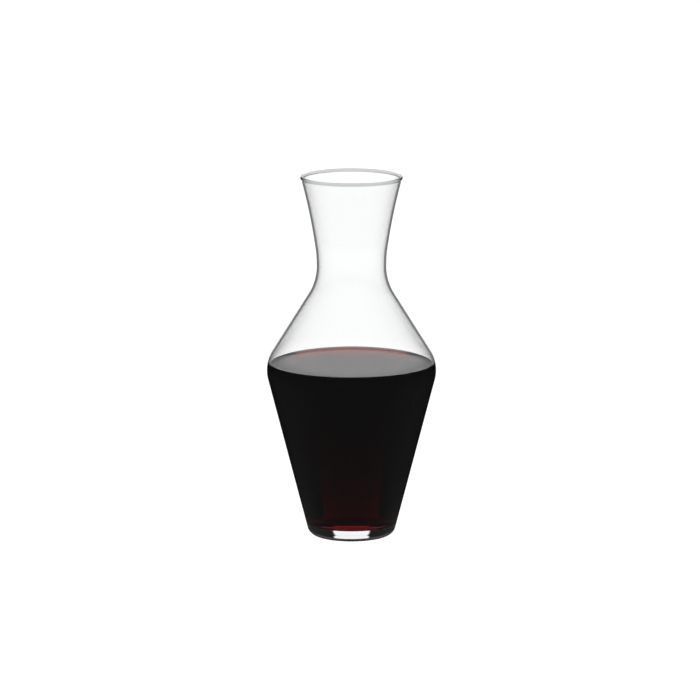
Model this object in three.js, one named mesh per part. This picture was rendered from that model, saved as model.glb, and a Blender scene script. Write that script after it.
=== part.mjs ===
// A wine decanter: one vessel of blown clear glass, and the red wine that fills it to its widest ring.
// Millimetres, +Z up. The origin is on the axis, at the level that the decanter stands on.
import * as THREE from 'three';

// ---------------------------------------------------------------- driving dimensions

// The outside of the glass is a chain of straight stretches that meet at these corners, from the heel to the
// mouth. Each corner has its radius from the axis, its height, the radius of the arc that rounds it, and the
// glass's thickness there.
const HEEL = { r: 30.1, z: 0, round: 7.3, wall: 3.2 };
const WIDEST = { r: 62.6, z: 124.5, round: 26.3, wall: 2.0 };
const WAIST_FOOT = { r: 24.5, z: 185, round: 37.5, wall: 1.8 };
const WAIST_HEAD = { r: 25.1, z: 204.9, round: 79, wall: 1.7 };
const FLARE = { r: 30.4, z: 237.2, round: 415, wall: 1.7 };
const MOUTH = { r: 36.5, z: 260 };

const BEAD = 1.25; // the radius of the fire-polished bead round the mouth
const PUNT = { r: 17, rise: 1.4 }; // the shallow hollow under the base, inside the resting ring
const FLOOR = { height: 8, rise: 3, round: 8 }; // the inside floor, which rises towards the middle

const WINE_LEVEL = 124; // the flat middle of the wine's surface
const CAPILLARY_LENGTH = 2.2; // sets how high and how far in the wine climbs at the glass
const STEEPEST = THREE.MathUtils.degToRad(45); // the slope of the wine's surface where it meets the glass
const SHALLOWEST = THREE.MathUtils.degToRad(3); // the slope at which the climb counts as flat

const GAP = 0.3; // between the wine and the glass
const SIDES = 64; // flat sides round the axis
const STRAY = 0.08; // how far a chord may lie from the arc that it stands for
const PUNT_STEPS = 4;
const BEAD_STEPS = 9;
const CLIMB_STEPS = 6;

// ---------------------------------------------------------------- outlines, as (radius, height) points

const point = ({ r, z }) => new THREE.Vector2(r, z);

/** The arc that rounds a corner and touches the stretches on both sides of it. */
function cornerArc(before, corner, after) {
  const at = point(corner);
  const back = point(before).sub(at).normalize();
  const onward = point(after).sub(at).normalize();
  const halfAngle = Math.acos(back.dot(onward)) / 2;
  const start = at.clone().addScaledVector(back, corner.round / Math.tan(halfAngle));
  const inward = back.clone().add(onward).normalize();
  const centre = at.clone().addScaledVector(inward, corner.round / Math.sin(halfAngle));
  const turn = (Math.PI - 2 * halfAngle) * Math.sign(onward.cross(back));
  const steps = Math.ceil(Math.abs(turn) / Math.sqrt((8 * STRAY) / corner.round));
  return Array.from({ length: steps + 1 }, (_, i) => start.clone().rotateAround(centre, (turn * i) / steps));
}

/** A chain of corners as one smooth outline. Its two ends stay sharp. */
function roundedChain(chain) {
  const arcs = chain.slice(1, -1).map((corner, i) => cornerArc(chain[i], corner, chain[i + 2]));
  return [point(chain[0]), ...arcs.flat(), point(chain.at(-1))];
}

/** The direction out of the glass, square to the stretch between two corners of the outside. */
function outward(low, high) {
  const up = point(high).sub(point(low)).normalize();
  return new THREE.Vector2(up.y, -up.x);
}

/** A corner of the outside moved through the glass, and further by gap, with its arc still parallel. */
function throughWall(before, corner, after, gap) {
  const depth = corner.wall + gap;
  const first = outward(before, corner);
  const second = outward(corner, after);
  const shift = first.clone().add(second).multiplyScalar(depth / (1 + first.dot(second)));
  const bulges = Math.sign(first.cross(second));
  return { r: corner.r - shift.x, z: corner.z - shift.y, round: corner.round - bulges * depth };
}

/** The inside of the glass, or a surface gap inside it, from the axis up to the mouth. */
function insideChain(gap) {
  const outside = [HEEL, WIDEST, WAIST_FOOT, WAIST_HEAD, FLARE, MOUTH];
  const walls = outside.slice(1, -1).map((corner, i) => throughWall(outside[i], corner, outside[i + 2], gap));
  const heel = throughWall({ r: 0, z: 0 }, HEEL, WIDEST, gap);
  const floorHeight = FLOOR.height + gap;
  const reach = (floorHeight - heel.z) / (walls[0].z - heel.z);
  const floorCorner = {
    r: THREE.MathUtils.lerp(heel.r, walls[0].r, reach),
    z: floorHeight,
    round: FLOOR.round - gap,
  };
  const mouth = point(MOUTH).addScaledVector(outward(FLARE, MOUTH), -FLARE.wall - gap);
  return [{ r: 0, z: floorHeight + FLOOR.rise }, floorCorner, ...walls, { r: mouth.x, z: mouth.y }];
}

/** The bead on the mouth, from the outside of the wall over the top to the inside. */
function beadOutline() {
  const out = outward(FLARE, MOUTH);
  const up = new THREE.Vector2(-out.y, out.x);
  const halfWall = FLARE.wall / 2;
  const centre = point(MOUTH).addScaledVector(out, -halfWall);
  centre.addScaledVector(up, (MOUTH.z - BEAD - centre.y) / up.y);
  const belowCentre = Math.sqrt(BEAD ** 2 - halfWall ** 2);
  const start = centre.clone().addScaledVector(out, halfWall).addScaledVector(up, -belowCentre);
  const turn = (2 * (Math.PI - Math.asin(halfWall / BEAD))) / BEAD_STEPS;
  return Array.from({ length: BEAD_STEPS + 1 }, (_, i) => start.clone().rotateAround(centre, turn * i));
}

/** The hollow under the base, from the axis to the resting ring. */
function puntOutline() {
  const share = (i) => i / PUNT_STEPS;
  const dome = (t) => new THREE.Vector2(PUNT.r * t, PUNT.rise * (1 - t * t));
  return Array.from({ length: PUNT_STEPS + 1 }, (_, i) => dome(share(i)));
}

/** The wine's surface from the glass to the axis: a liquid's climb at a wall, given by its slope. */
function climbOutline(contact) {
  const along = (slope) => -Math.log(Math.tan(slope / 4)) - 2 * Math.cos(slope / 2);
  const climb = (slope) => {
    const inward = CAPILLARY_LENGTH * (along(slope) - along(STEEPEST));
    const height = 2 * CAPILLARY_LENGTH * Math.sin(slope / 2);
    return new THREE.Vector2(contact.x - inward, WINE_LEVEL + height);
  };
  const slopes = Array.from({ length: CLIMB_STEPS }, (_, i) => {
    const t = (i + 1) / CLIMB_STEPS;
    return STEEPEST * (SHALLOWEST / STEEPEST) ** t;
  });
  return [contact, ...slopes.map(climb), new THREE.Vector2(0, WINE_LEVEL)];
}

/** The part of an outline that lies below a height, ended exactly at that height. */
function upTo(outline, height) {
  const above = outline.findIndex((p) => p.y >= height);
  const [low, high] = [outline[above - 1], outline[above]];
  return [...outline.slice(0, above), low.clone().lerp(high, (height - low.y) / (high.y - low.y))];
}

// ---------------------------------------------------------------- solids

/** A named solid of revolution about +Z from an outline that starts and ends on the axis. */
function turned(name, outline, material) {
  const geometry = new THREE.LatheGeometry(outline, SIDES);
  geometry.rotateX(Math.PI / 2);
  const mesh = new THREE.Mesh(geometry, material);
  mesh.name = name;
  return mesh;
}

function glassVessel() {
  const outside = roundedChain([{ r: PUNT.r, z: 0 }, HEEL, WIDEST, WAIST_FOOT, WAIST_HEAD, FLARE, MOUTH]);
  const inside = roundedChain(insideChain(0));
  const outline = [
    ...puntOutline(),
    ...outside.slice(1, -1),
    ...beadOutline(),
    ...inside.slice(0, -1).reverse(),
  ];
  const clearGlass = new THREE.MeshStandardMaterial({
    color: 0xeef2f1,
    roughness: 0.03,
    metalness: 0,
    transparent: true,
    opacity: 0.35,
  });
  return turned('glass_vessel', outline, clearGlass);
}

function wine() {
  const contactHeight = WINE_LEVEL + 2 * CAPILLARY_LENGTH * Math.sin(STEEPEST / 2);
  const side = upTo(roundedChain(insideChain(GAP)), contactHeight);
  const outline = [...side.slice(0, -1), ...climbOutline(side.at(-1))];
  const redWine = new THREE.MeshStandardMaterial({ color: 0x2a0308, roughness: 0.05, metalness: 0 });
  return turned('wine', outline, redWine);
}

const decanter = new THREE.Group();
decanter.add(glassVessel(), wine());

export default decanter;
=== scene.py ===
"""A wine decanter of blown clear glass, filled with red wine, on a white light table."""

import math
from collections import namedtuple

import bpy
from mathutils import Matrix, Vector


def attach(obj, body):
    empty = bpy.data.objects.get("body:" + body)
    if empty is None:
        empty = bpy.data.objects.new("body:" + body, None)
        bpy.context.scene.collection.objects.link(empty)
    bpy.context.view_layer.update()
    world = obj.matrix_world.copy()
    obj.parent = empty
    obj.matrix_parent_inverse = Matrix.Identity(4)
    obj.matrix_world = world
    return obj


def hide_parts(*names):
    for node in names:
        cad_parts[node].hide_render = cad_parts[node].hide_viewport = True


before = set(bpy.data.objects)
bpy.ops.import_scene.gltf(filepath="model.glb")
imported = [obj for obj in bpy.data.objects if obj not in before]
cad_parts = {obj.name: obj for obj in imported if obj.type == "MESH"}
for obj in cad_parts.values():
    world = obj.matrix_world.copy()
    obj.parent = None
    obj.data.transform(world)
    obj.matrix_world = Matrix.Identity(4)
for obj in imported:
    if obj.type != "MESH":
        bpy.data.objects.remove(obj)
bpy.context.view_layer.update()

# ---------------------------------------------------------------- driving dimensions, in millimetres

MM = 0.001

# The outside of the glass is a chain of straight stretches that meet at these corners, from the heel to
# the mouth: radius from the axis, height, radius of the arc that rounds the corner, and thickness of the
# glass there.
Corner = namedtuple("Corner", "r z round wall", defaults=(0, 0))
HEEL = Corner(30.1, 0, 7.3, 3.2)
WIDEST = Corner(62.6, 124.5, 26.3, 2.0)
WAIST_FOOT = Corner(24.5, 185, 37.5, 1.8)
WAIST_HEAD = Corner(25.1, 204.9, 79, 1.7)
FLARE = Corner(30.4, 237.2, 415, 1.7)
MOUTH = Corner(36.5, 260)
BEAD = 1.25  # radius of the fire-polished bead round the mouth
PUNT_RADIUS, PUNT_RISE = 17, 1.4  # the shallow hollow under the base
FLOOR_HEIGHT, FLOOR_RISE, FLOOR_ROUND = 8, 3, 8  # the inside floor, which rises towards the middle

WINE_LEVEL = 124  # the flat middle of the wine's surface
CAPILLARY_LENGTH = 2.2  # sets how high and how far in the wine climbs at the glass
STEEPEST = math.radians(45)  # the slope of the wine's surface where it meets the glass
SHALLOWEST = math.radians(1)  # the slope at which the climb counts as flat
WETTING = 0.15  # how far the wine reaches into the glass, so that no air is left between them

STRAY = 0.005  # how far a chord may lie from the arc that it stands for
LONGEST_STRETCH = 5  # between two points along a straight stretch
SIDES = 192  # round the axis
PUNT_STEPS = 24
CLIMB_STEPS = 28

IOR_GLASS = 1.5
IOR_WINE = 1.34
WINE_COLOUR, WINE_DENSITY = (0.925, 0.55, 0.45, 1), 1000  # how the wine absorbs light, per metre
RIPPLE_SCALE, RIPPLE_DETAIL = 60, 2  # the waviness of the blown glass
RIPPLE_SQUASH = 3  # how many times narrower the waves are along the axis than round it
RIPPLE_HEIGHT = 0.01
SCUFF_TOP = 0.2  # how far above the table the wear under the base reaches
SCUFF_SCALE, SCUFF_DETAIL, SCUFF_ROUGHNESS = 900, 6, 0.3
SCUFF_LEVEL, SCUFF_EDGE = 0.55, 0.05  # the noise above which the glass is worn, and how softly it starts

# ---------------------------------------------------------------- outlines, as (radius, height) points


def at(corner):
    return Vector((corner.r, corner.z))


def turned_by(vector, angle):
    c, s = math.cos(angle), math.sin(angle)
    return Vector((c * vector.x - s * vector.y, s * vector.x + c * vector.y))


def across(a, b):
    return a.x * b.y - a.y * b.x


def corner_arc(before, corner, after):
    """The arc that rounds a corner and touches the stretches on both sides of it."""
    back = (at(before) - at(corner)).normalized()
    onward = (at(after) - at(corner)).normalized()
    half_angle = math.acos(back.dot(onward)) / 2
    start = at(corner) + back * corner.round / math.tan(half_angle)
    centre = at(corner) + (back + onward).normalized() * corner.round / math.sin(half_angle)
    turn = math.copysign(math.pi - 2 * half_angle, across(onward, back))
    steps = math.ceil(abs(turn) / math.sqrt(8 * STRAY / corner.round))
    return [centre + turned_by(start - centre, turn * i / steps) for i in range(steps + 1)]


def stretch(a, b):
    """The points between a and b that keep a long straight stretch in short steps."""
    steps = max(1, math.ceil((b - a).length / LONGEST_STRETCH))
    return [a.lerp(b, i / steps) for i in range(1, steps)]


def rounded_chain(chain):
    """A chain of corners as one smooth outline. Its two ends stay sharp."""
    outline = [at(chain[0])]
    for before, corner, after in zip(chain, chain[1:], chain[2:]):
        arc = corner_arc(before, corner, after)
        outline += stretch(outline[-1], arc[0]) + arc
    return outline + stretch(outline[-1], at(chain[-1])) + [at(chain[-1])]


def outward(low, high):
    """The direction out of the glass, square to the stretch between two corners of the outside."""
    up = (at(high) - at(low)).normalized()
    return Vector((up.y, -up.x))


def through_wall(before, corner, after, gap):
    """A corner of the outside moved through the glass, and further by gap, with its arc still parallel."""
    depth = corner.wall + gap
    first, second = outward(before, corner), outward(corner, after)
    shift = (first + second) * depth / (1 + first.dot(second))
    bulges = math.copysign(1, across(first, second))
    return Corner(corner.r - shift.x, corner.z - shift.y, corner.round - bulges * depth)


def inside_chain(gap=0.0):
    """The inside of the glass, or a surface gap inside it, from the axis up to the mouth."""
    outside = [HEEL, WIDEST, WAIST_FOOT, WAIST_HEAD, FLARE, MOUTH]
    walls = [through_wall(*three, gap) for three in zip(outside, outside[1:], outside[2:])]
    heel = through_wall(Corner(0, 0), HEEL, WIDEST, gap)
    floor_height = FLOOR_HEIGHT + gap
    reach = (floor_height - heel.z) / (walls[0].z - heel.z)
    floor_corner = Corner(heel.r + (walls[0].r - heel.r) * reach, floor_height, FLOOR_ROUND - gap)
    mouth = at(MOUTH) - outward(FLARE, MOUTH) * (FLARE.wall + gap)
    return [Corner(0, floor_height + FLOOR_RISE), floor_corner, *walls, Corner(*mouth)]


def bead_outline():
    """The bead on the mouth, from the outside of the wall over the top to the inside."""
    out = outward(FLARE, MOUTH)
    up = Vector((-out.y, out.x))
    half_wall = FLARE.wall / 2
    centre = at(MOUTH) - out * half_wall
    centre += up * (MOUTH.z - BEAD - centre.y) / up.y
    start = out * half_wall - up * math.sqrt(BEAD**2 - half_wall**2)
    turn = 2 * math.pi - 2 * math.asin(half_wall / BEAD)
    steps = math.ceil(turn / math.sqrt(8 * STRAY / BEAD))
    return [centre + turned_by(start, turn * i / steps) for i in range(steps + 1)]


def punt_outline():
    shares = [i / PUNT_STEPS for i in range(PUNT_STEPS + 1)]
    return [Vector((PUNT_RADIUS * t, PUNT_RISE * (1 - t * t))) for t in shares]


def climb_outline(contact):
    """The wine's surface from the glass to the axis: a liquid's climb at a wall, given by its slope."""

    def along(slope):
        return -math.log(math.tan(slope / 4)) - 2 * math.cos(slope / 2)

    outline = [contact]
    for i in range(1, CLIMB_STEPS + 1):
        slope = STEEPEST * (SHALLOWEST / STEEPEST) ** (i / CLIMB_STEPS)
        inward = CAPILLARY_LENGTH * (along(slope) - along(STEEPEST))
        height = 2 * CAPILLARY_LENGTH * math.sin(slope / 2)
        outline.append(Vector((contact.x - inward, WINE_LEVEL + height)))
    middle = Vector((0, WINE_LEVEL))
    return outline + stretch(outline[-1], middle) + [middle]


def up_to(outline, height):
    """The part of an outline that lies below a height, ended exactly at that height."""
    above = next(i for i, p in enumerate(outline) if p.y >= height)
    low, high = outline[above - 1], outline[above]
    return outline[:above] + [low.lerp(high, (height - low.y) / (high.y - low.y))]


# ---------------------------------------------------------------- meshes


def turned(name, outline):
    """A closed mesh of revolution about +Z from an outline that starts and ends on the axis."""
    bottom, *rings, top = outline
    vertices = [(0, 0, bottom.y * MM)]
    for ring in rings:
        for side in range(SIDES):
            angle = 2 * math.pi * side / SIDES
            vertices.append((ring.x * MM * math.cos(angle), ring.x * MM * math.sin(angle), ring.y * MM))
    vertices.append((0, 0, top.y * MM))

    def index(ring, side):
        return 1 + ring * SIDES + side % SIDES

    last = len(rings) - 1
    faces = []
    for side in range(SIDES):
        faces.append((0, index(0, side + 1), index(0, side)))
        for ring in range(last):
            a, b = index(ring, side), index(ring, side + 1)
            faces.append((a, b, index(ring + 1, side + 1), index(ring + 1, side)))
        faces.append((index(last, side), index(last, side + 1), len(vertices) - 1))

    mesh = bpy.data.meshes.new(name)
    mesh.from_pydata(vertices, [], faces)
    mesh.shade_smooth()
    piece = bpy.data.objects.new(name, mesh)
    bpy.context.scene.collection.objects.link(piece)
    return piece


# ---------------------------------------------------------------- shader nodes


def maths(tree, operation, *inputs):
    """A Math node. Each input is a number or a socket."""
    node = tree.nodes.new("ShaderNodeMath")
    node.operation = operation
    for socket, value in zip(node.inputs, inputs):
        if isinstance(value, (int, float)):
            socket.default_value = value
        else:
            tree.links.new(value, socket)
    return node.outputs[0]


def between(tree, low, high, share):
    """The value that lies a share of the way from low to high."""
    return maths(tree, "ADD", low, maths(tree, "MULTIPLY", maths(tree, "SUBTRACT", high, low), share))


def beyond(tree, value, limit, edge):
    """0 below a limit and 1 above it, with a soft edge."""
    node = tree.nodes.new("ShaderNodeMapRange")
    node.interpolation_type = "SMOOTHSTEP"
    node.inputs["From Min"].default_value = limit - edge
    node.inputs["From Max"].default_value = limit + edge
    tree.links.new(value, node.inputs["Value"])
    return node.outputs["Result"]


def node_material(name):
    material = bpy.data.materials.new(name)
    material.use_nodes = True
    tree = material.node_tree
    return material, tree, tree.nodes["Principled BSDF"]


def bare_material(name):
    """A material with nothing in its tree but the output."""
    material, tree, shader = node_material(name)
    tree.nodes.remove(shader)
    return material, tree, tree.nodes["Material Output"]


def noise(tree, position, scale, detail):
    node = tree.nodes.new("ShaderNodeTexNoise")
    node.inputs["Scale"].default_value = scale
    node.inputs["Detail"].default_value = detail
    tree.links.new(position, node.inputs["Vector"])
    return node.outputs["Fac"]


# ---------------------------------------------------------------- materials


def blown_ripple(tree, shader):
    """The faint waviness of blown glass, in bands round the axis. Returns the place on the piece."""
    place = tree.nodes.new("ShaderNodeTexCoord").outputs["Object"]
    bands = tree.nodes.new("ShaderNodeMapping")
    bands.inputs["Scale"].default_value = (1, 1, RIPPLE_SQUASH)
    tree.links.new(place, bands.inputs["Vector"])
    bump = tree.nodes.new("ShaderNodeBump")
    bump.inputs["Strength"].default_value = 1.0
    bump.inputs["Distance"].default_value = RIPPLE_HEIGHT * MM
    waves = noise(tree, bands.outputs["Vector"], RIPPLE_SCALE, RIPPLE_DETAIL)
    tree.links.new(waves, bump.inputs["Height"])
    tree.links.new(bump.outputs["Normal"], shader.inputs["Normal"])
    return place


def blown_glass(name, colour):
    """Smooth blown glass: the material, its node tree, its shader and the place on the piece."""
    material, tree, shader = node_material(name)
    shader.inputs["Base Color"].default_value = colour
    shader.inputs["Roughness"].default_value = 0.0
    shader.inputs["IOR"].default_value = IOR_GLASS
    shader.inputs["Transmission Weight"].default_value = 1.0
    return material, tree, shader, blown_ripple(tree, shader)


def clear_glass():
    """Clear blown glass, scuffed where it rests on the table."""
    material, tree, shader, place = blown_glass("clear_glass", (0.995, 1.0, 0.998, 1))
    parts = tree.nodes.new("ShaderNodeSeparateXYZ")
    tree.links.new(place, parts.inputs[0])
    resting = maths(tree, "LESS_THAN", parts.outputs["Z"], SCUFF_TOP * MM)
    scuffs = beyond(tree, noise(tree, place, SCUFF_SCALE, SCUFF_DETAIL), SCUFF_LEVEL, SCUFF_EDGE)
    worn = maths(tree, "MULTIPLY", maths(tree, "MULTIPLY", resting, scuffs), SCUFF_ROUGHNESS)
    tree.links.new(worn, shader.inputs["Roughness"])
    return material


def lip_painted_shade_glass():
    """The bead on the mouth: clear glass tinted grey as painted shade, so that it shows as dark as the rim
    of clear glass looks.
    """
    # the grey base colour is painted shade, standing in for the dark edge that a clear glass rim shows
    return blown_glass("lip_painted_shade_glass", (0.62, 0.625, 0.63, 1))[0]


def wetted_glass():
    """The inside of the glass under the wine, with no reflection: glass and wine bend light much alike."""
    material, tree, output = bare_material("wetted_glass")
    shader = tree.nodes.new("ShaderNodeBsdfRefraction")
    shader.inputs["Color"].default_value = (1, 1, 1, 1)
    shader.inputs["Roughness"].default_value = 0.0
    shader.inputs["IOR"].default_value = IOR_GLASS
    tree.links.new(shader.outputs["BSDF"], output.inputs["Surface"])
    return material


def red_wine():
    """Wine that absorbs light along its way, and whose surface mirrors weakly."""
    material, tree, shader = node_material("red_wine")
    shader.inputs["Base Color"].default_value = (1, 1, 1, 1)
    shader.inputs["Roughness"].default_value = 0.0
    shader.inputs["IOR"].default_value = IOR_WINE
    shader.inputs["Transmission Weight"].default_value = 1.0
    shader.inputs["Specular Tint"].default_value = (0.1, 0.1, 0.1, 1)
    absorption = tree.nodes.new("ShaderNodeVolumeAbsorption")
    absorption.inputs["Color"].default_value = WINE_COLOUR
    absorption.inputs["Density"].default_value = WINE_DENSITY
    tree.links.new(absorption.outputs["Volume"], tree.nodes["Material Output"].inputs["Volume"])
    return material


# ---------------------------------------------------------------- pieces

# the lip's slot holds glass tinted grey as painted shade for the dark rim
WETTED, PAINTED_SHADE_LIP = 1, 2  # the material slots of the vessel after the clear glass
FLOOR_FACING = 0.5  # the least upward part of a normal on the inside floor
BASE_MIDDLE = FLOOR_HEIGHT / 2  # a height inside the solid base, above the punt and below the floor


def faces_inward(face):
    """True for a face on the inside of the glass, which looks at the axis or up from the floor."""
    towards_axis = face.normal.x * face.center.x + face.normal.y * face.center.y < 0
    return towards_axis or face.normal.z > FLOOR_FACING


def paint_glass(mesh, bead):
    """Gives each face of the vessel its material: clear, wetted by the wine, or the lip's glass tinted grey
    as painted shade.
    """
    for material in (clear_glass(), wetted_glass(), lip_painted_shade_glass()):
        mesh.materials.append(material)
    wall_top = max(bead[0].y, bead[-1].y) * MM
    wet_top = contact_height() * MM
    for face in mesh.polygons:
        if faces_inward(face) and BASE_MIDDLE * MM < face.center.z < wet_top:
            face.material_index = WETTED
        # the faces above the wall take the lip's grey tint, painted shade for its dark rim
        if face.center.z > wall_top:
            face.material_index = PAINTED_SHADE_LIP


def glass_vessel():
    outside = rounded_chain([Corner(PUNT_RADIUS, 0), HEEL, WIDEST, WAIST_FOOT, WAIST_HEAD, FLARE, MOUTH])
    inside = rounded_chain(inside_chain())
    bead = bead_outline()
    piece = turned("decanter_glass", punt_outline() + outside[1:-1] + bead + inside[-2::-1])
    paint_glass(piece.data, bead)
    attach(piece, "root")
    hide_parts("glass_vessel")


def contact_height():
    """Where the top of the wine's climb meets the glass."""
    return WINE_LEVEL + 2 * CAPILLARY_LENGTH * math.sin(STEEPEST / 2)


def wine():
    side = up_to(rounded_chain(inside_chain(-WETTING)), contact_height())
    piece = turned("red_wine", side[:-1] + climb_outline(side[-1]))
    piece.data.materials.append(red_wine())
    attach(piece, "root")
    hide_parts("wine")


glass_vessel()
wine()

# ---------------------------------------------------------------- stage, light and camera, in metres

# The table and the world give all the light. Their strength isn't that of one real studio: each kind of ray,
# such as one through a single wall of glass or one mirrored by the wine, has a strength of its own.
WHITE = 1.15  # the table and the studio as seen: bright enough to show as white
THROUGH_GLASS = 1.12  # the same, as seen through the clear glass
MIRRORED_WHITE = 0.78  # what the wine's surface mirrors, seen through the glass
BACKDROP = 1.0  # the white backdrop as seen through thick glass and wine
DARK = 0.01  # the dark cards at both sides of it
ROOM = 0.105  # the room on the camera's side, as the outside of the glass mirrors it
TOP_LIGHT = 0.9  # the large soft light overhead, as the outside of the glass mirrors it
EDGE = 0.25  # what light that turns round inside a wall of glass comes from
SIDE_CARDS = math.radians(16.5), math.radians(100)  # where they start and end, from straight behind
TOP_CARD = math.radians(60)  # the elevation above which the backdrop is dark
BACKDROP_TOP = math.radians(30)  # as far up as the wine's surface mirrors the white backdrop
CARD_EDGE = math.radians(1.5)
TOP_LIGHT_START, TOP_LIGHT_EDGE = math.radians(20), math.radians(10)
ROOM_START, ROOM_EDGE = math.radians(70), math.radians(45)  # how softly the room follows on the dark cards
SHADE_REACH = 0.3  # how far the table is shaded round the decanter
SHADE_EDGE = SHADE_REACH / 5
SHADE = 0.35  # how bright the table is there
TABLE_HALF_WIDTH = 10.0
TABLE_DROP = 0.0005  # how far the table lies under the decanter
ANY = 0.5  # divides none from at least one, in a count of bounces
ONE_WALL, TWO_WALLS = 1.5, 3.5  # the middle of the counts of surfaces that a ray passes in them
WALL_REACH = 1.0  # how far the counts lie from that middle


def surroundings(tree, x, y):
    """The light from a direction: through thick glass and wine, and mirrored by the outside of the glass."""
    azimuth = maths(tree, "ABSOLUTE", maths(tree, "ARCTAN2", x, y))
    cards, room = (beyond(tree, azimuth, limit, CARD_EDGE) for limit in SIDE_CARDS)
    backdrop = between(tree, between(tree, BACKDROP, DARK, cards), ROOM, room)
    dim = between(tree, DARK, ROOM, beyond(tree, azimuth, ROOM_START, ROOM_EDGE))
    return backdrop, between(tree, WHITE, dim, cards)


def studio_light(tree, backdrop, thin, mirrored_light, mirrored_white, strength):
    """Drives a strength by how often the ray to the camera has passed through a surface or been mirrored.

    backdrop is what thick glass and wine show, thin is what a single wall of glass shows, mirrored_light is
    what the outside of the glass mirrors, and mirrored_white is what the wine's surface mirrors. A ray that
    has met no surface shows white.
    """
    path = tree.nodes.new("ShaderNodeLightPath")
    transmissions = path.outputs["Transmission Depth"]
    mirrored = maths(tree, "GREATER_THAN", path.outputs["Glossy Depth"], ANY)
    one_wall = maths(tree, "COMPARE", transmissions, ONE_WALL, WALL_REACH)
    two_walls = maths(tree, "COMPARE", transmissions, TWO_WALLS, WALL_REACH)
    light = between(tree, backdrop, thin, one_wall)
    light = between(tree, light, EDGE, maths(tree, "MULTIPLY", one_wall, mirrored))
    light = between(tree, light, mirrored_light, maths(tree, "LESS_THAN", transmissions, ANY))
    light = between(tree, light, between(tree, THROUGH_GLASS, mirrored_white, mirrored), two_walls)
    tree.links.new(between(tree, light, WHITE, path.outputs["Is Camera Ray"]), strength)


def light_table():
    mesh = bpy.data.meshes.new("light_table")
    size = TABLE_HALF_WIDTH
    corners = [(x * size, y * size, -TABLE_DROP) for x, y in ((-1, -1), (1, -1), (1, 1), (-1, 1))]
    mesh.from_pydata(corners, [], [(0, 1, 2, 3)])
    table = bpy.data.objects.new("light_table", mesh)
    bpy.context.scene.collection.objects.link(table)
    material, tree, output = bare_material("light_table")
    emission = tree.nodes.new("ShaderNodeEmission")
    tree.links.new(emission.outputs["Emission"], output.inputs["Surface"])
    place = tree.nodes.new("ShaderNodeTexCoord")
    parts = tree.nodes.new("ShaderNodeSeparateXYZ")
    tree.links.new(place.outputs["Object"], parts.inputs[0])
    x, y = parts.outputs["X"], parts.outputs["Y"]
    squares = maths(tree, "ADD", maths(tree, "MULTIPLY", x, x), maths(tree, "MULTIPLY", y, y))
    clear_of_it = beyond(tree, maths(tree, "SQRT", squares), SHADE_REACH, SHADE_EDGE)
    shade = between(tree, SHADE, 1, clear_of_it)
    backdrop, mirrored_light = surroundings(tree, x, y)
    backdrop = maths(tree, "MULTIPLY", shade, backdrop)
    thin = maths(tree, "MULTIPLY", THROUGH_GLASS, shade)
    studio_light(tree, backdrop, thin, mirrored_light, MIRRORED_WHITE, emission.inputs["Strength"])
    mesh.materials.append(material)


def backdrop():
    world = bpy.data.worlds.new("studio")
    bpy.context.scene.world = world
    world.use_nodes = True
    tree = world.node_tree
    background = tree.nodes["Background"]
    background.inputs["Color"].default_value = (1, 1, 1, 1)
    place = tree.nodes.new("ShaderNodeTexCoord")
    parts = tree.nodes.new("ShaderNodeSeparateXYZ")
    tree.links.new(place.outputs["Generated"], parts.inputs[0])
    elevation = maths(tree, "ARCSINE", parts.outputs["Z"])
    backdrop_light, mirrored_light = surroundings(tree, parts.outputs["X"], parts.outputs["Y"])
    backdrop_light = between(tree, backdrop_light, DARK, beyond(tree, elevation, TOP_CARD, CARD_EDGE))
    top_light = beyond(tree, elevation, TOP_LIGHT_START, TOP_LIGHT_EDGE)
    mirrored_light = between(tree, mirrored_light, TOP_LIGHT, top_light)
    behind = between(tree, backdrop_light, DARK, beyond(tree, elevation, BACKDROP_TOP, CARD_EDGE))
    mirrored_white = maths(tree, "MULTIPLY", MIRRORED_WHITE, behind)
    strength = background.inputs["Strength"]
    studio_light(tree, backdrop_light, backdrop_light, mirrored_light, mirrored_white, strength)


ELEVATION = math.radians(10.73)  # of the camera above the point that it aims at
DISTANCE = 3.715
AIM_HEIGHT = 0.1292  # of that point above the table
FRAME_WIDTH = 0.49966  # how much of the world the picture is wide, at the decanter
AIM_SHIFT = -0.00214, 0.01014  # where the aim lies off the middle, in widths of the picture
SENSOR_WIDTH = 36
FARTHEST = 50


def camera():
    data = bpy.data.cameras.new("camera")
    data.sensor_width = SENSOR_WIDTH
    data.lens = SENSOR_WIDTH * DISTANCE / FRAME_WIDTH
    data.shift_x, data.shift_y = AIM_SHIFT
    data.clip_end = FARTHEST
    seat = bpy.data.objects.new("camera", data)
    bpy.context.scene.collection.objects.link(seat)
    aim = Vector((0, 0, AIM_HEIGHT))
    away = Vector((0, -math.cos(ELEVATION), math.sin(ELEVATION)))
    seat.location = aim + away * DISTANCE
    look = (aim - seat.location).to_track_quat("-Z", "Y").to_matrix().to_4x4()
    seat.rotation_euler = look.to_euler()
    bpy.context.scene.camera = seat


def film():
    scene = bpy.context.scene
    scene.view_settings.view_transform = "Standard"
    scene.cycles.max_bounces = 32
    scene.cycles.min_light_bounces = 12
    scene.cycles.transmission_bounces = 32
    scene.cycles.glossy_bounces = 16
    scene.cycles.caustics_refractive = True
    scene.cycles.caustics_reflective = True
    scene.cycles.use_denoising = True
    scene.cycles.denoising_input_passes = "RGB"


light_table()
backdrop()
camera()
film()
